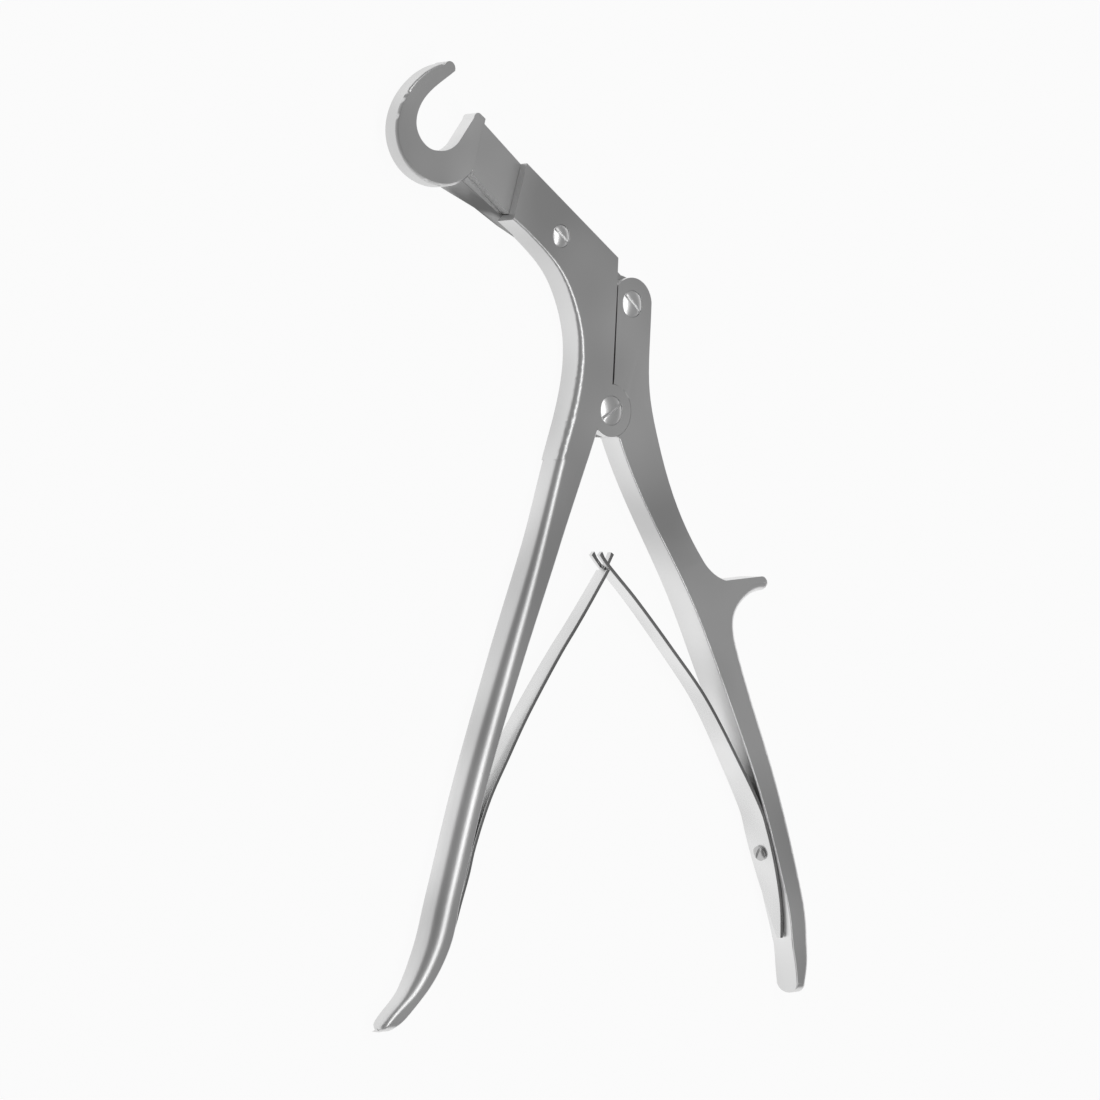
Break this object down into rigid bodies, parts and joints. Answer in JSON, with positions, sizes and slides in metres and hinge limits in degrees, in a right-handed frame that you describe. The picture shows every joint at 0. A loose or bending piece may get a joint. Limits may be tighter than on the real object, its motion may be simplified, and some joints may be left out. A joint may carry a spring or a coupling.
{
  "type": "rib shears",
  "caption": "Rib shears in satin steel: a long fixed handle with slotted head and blade, a sprung lever with finger prong, and a sliding hook drawn across the blade.",
  "frame": {"origin": "middle of the whole outline seen from the front, on the plane that the handles' backs lie on", "axes": "+X to the lever's side, +Y from the handles to the hook, +Z out of the front, where the screw heads are"},
  "size_m": [0.1678, 0.272, 0.0104],
  "materials": {
    "steel": "satin",
    "spring_steel": "satin"
  },
  "bodies": {
    "frame": {"frame": "steel", "guide_screw": "steel", "pivot_screw": "steel", "left_spring": "spring_steel", "left_spring_screw": "steel"},
    "lever": {"lever": "steel", "link_screw": "steel", "right_spring": "spring_steel", "right_spring_screw": "steel"},
    "slider": {"hook_slider": "steel"}
  },
  "joints": [
    {"name": "lever_pivot", "type": "hinge", "parent": "frame", "child": "lever", "pos_m": [0.00188, 0.03882, 0.0052], "axis": [0, 0, -1], "range_deg": [0, 30], "stiffness_Nm_per_rad": 2.5, "springref_deg": -11.46, "deforming": ["left_spring", "right_spring"]},
    {"name": "hook_slide", "type": "slide", "parent": "frame", "child": "slider", "axis": [0.7912, -0.6115, 0], "range_m": [0, 0.0166]}
  ],
  "couplings": [
    {"joint": "hook_slide", "follows": "lever_pivot", "m_per_rad": 0.031703}
  ]
}
